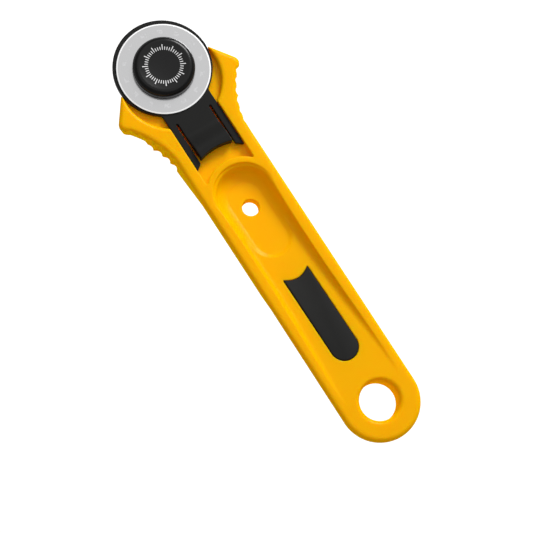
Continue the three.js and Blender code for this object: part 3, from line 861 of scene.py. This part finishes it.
def makeNut():
    low, high = span("rear_nut")
    nut = {
        "radius": high.y, "bore": 4.05, "edge": 0.7, "topEdge": 0.4,
        "face": 6.4, "faceSlope": 0.6, "hollow": 0.8,
        "ribs": 18, "fluteRadius": 1.1, "fluteDepth": 0.6, "fluteLevels": (-16, 0), "fluteSteps": 32,
        "voxel": 0.12, "passes": 3, "mostTriangles": 90000,
        "plastic": {"color": (0.014, 0.014, 0.014), "roughness": 0.42, "specular": 0.4,
                    "grainScale": 1500.0, "grainHeight": 0.00001},
    }
    outer, hollow = nut["radius"], low.z + nut["hollow"]
    profile = [(nut["bore"], high.z), (nut["bore"], hollow), (nut["face"], hollow),
               (nut["face"] + nut["faceSlope"], low.z), (outer - nut["edge"], low.z),
               (outer, low.z + nut["edge"]), (outer, high.z - nut["topEdge"]),
               (outer - nut["topEdge"], high.z)]
    body = spun("nutMoulding", profile, 180)
    reach = outer + nut["fluteRadius"] - nut["fluteDepth"]
    flutes = []
    for i in range(nut["ribs"]):
        turn = 2 * math.pi * i / nut["ribs"]
        at = (reach * math.cos(turn), reach * math.sin(turn))
        flutes.append(drillBit("rib", nut["fluteRadius"], at, *nut["fluteLevels"], nut["fluteSteps"]))
    combine(body, joined(flutes))
    soften(body, nut["voxel"], nut["passes"], nut["mostTriangles"])
    settle(body, blackPlastic("nutPlastic", **nut["plastic"]), "nut", "nut_plastic", "rear_nut")


def makeNutInsert():
    low, high = span("nut_insert")
    brass = {
        "outer": high.y, "bore": 2.6, "lead": 0.3, "edge": 0.2, "steps": 96,
        "color": (0.62, 0.42, 0.16), "roughness": 0.3, "grain": 400.0,
    }
    profile = [(brass["bore"] + brass["lead"], low.z), (brass["outer"] - brass["edge"], low.z),
               (brass["outer"], low.z + brass["edge"]), (brass["outer"], high.z),
               (brass["bore"], high.z), (brass["bore"], low.z + brass["lead"])]
    turned = metal("turnedBrass", brass["color"], brass["roughness"], brass["grain"])
    settle(spun("brassInsert", profile, brass["steps"]), turned, "nut_carrier", "insert_brass", "nut_insert")


def makeBolt():
    low, high = span("pivot_bolt")
    bolt = {
        "radius": 2.5, "tip": 0.5, "tipLength": 0.3, "head": 4.5, "headHeight": 0.9, "steps": 96,
        "pitch": 0.8, "crest": 0.1, "flank": 0.3, "root": 0.1, "threadDepth": 0.3, "threadLength": 4.8,
        "color": (0.62, 0.63, 0.65), "roughness": 0.32, "grain": 500.0,
    }
    core = bolt["radius"] - bolt["threadDepth"]
    profile = [(0, low.z), (bolt["radius"] - bolt["tip"], low.z)]
    z = low.z + bolt["tipLength"]
    while z < low.z + bolt["threadLength"]:
        rootFrom = z + bolt["crest"] + bolt["flank"]
        profile += [(bolt["radius"], z), (bolt["radius"], z + bolt["crest"]), (core, rootFrom),
                    (core, rootFrom + bolt["root"])]
        z += bolt["pitch"]
    underHead = high.z - bolt["headHeight"]
    profile += [(bolt["radius"], z), (bolt["radius"], underHead), (bolt["head"], underHead)]
    profile += [(bolt["head"], high.z), (0, high.z)]
    zinc = metal("zincSteel", bolt["color"], bolt["roughness"], bolt["grain"])
    settle(spun("boltBody", profile, bolt["steps"]), zinc, "handle", "bolt_steel", "pivot_bolt")


# the two washers are shown as they are
def finishWashers():
    washers = {
        "colors": {"flat_washer": (0.62, 0.63, 0.65), "wave_washer": (0.5, 0.51, 0.53)},
        "roughness": 0.28, "grain": 600.0,
    }
    for node, color in washers["colors"].items():
        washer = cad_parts[node]
        washer.data.materials.clear()
        washer.data.materials.append(metal(node + "Steel", color, washers["roughness"], washers["grain"]))


addCamera()
addStudio()
print("camera and studio set")
makeHandle()
makeInsert()
makeGuard()
makeBlade()
makeCap()
makeNut()
makeNutInsert()
makeBolt()
finishWashers()
print("all pieces made")
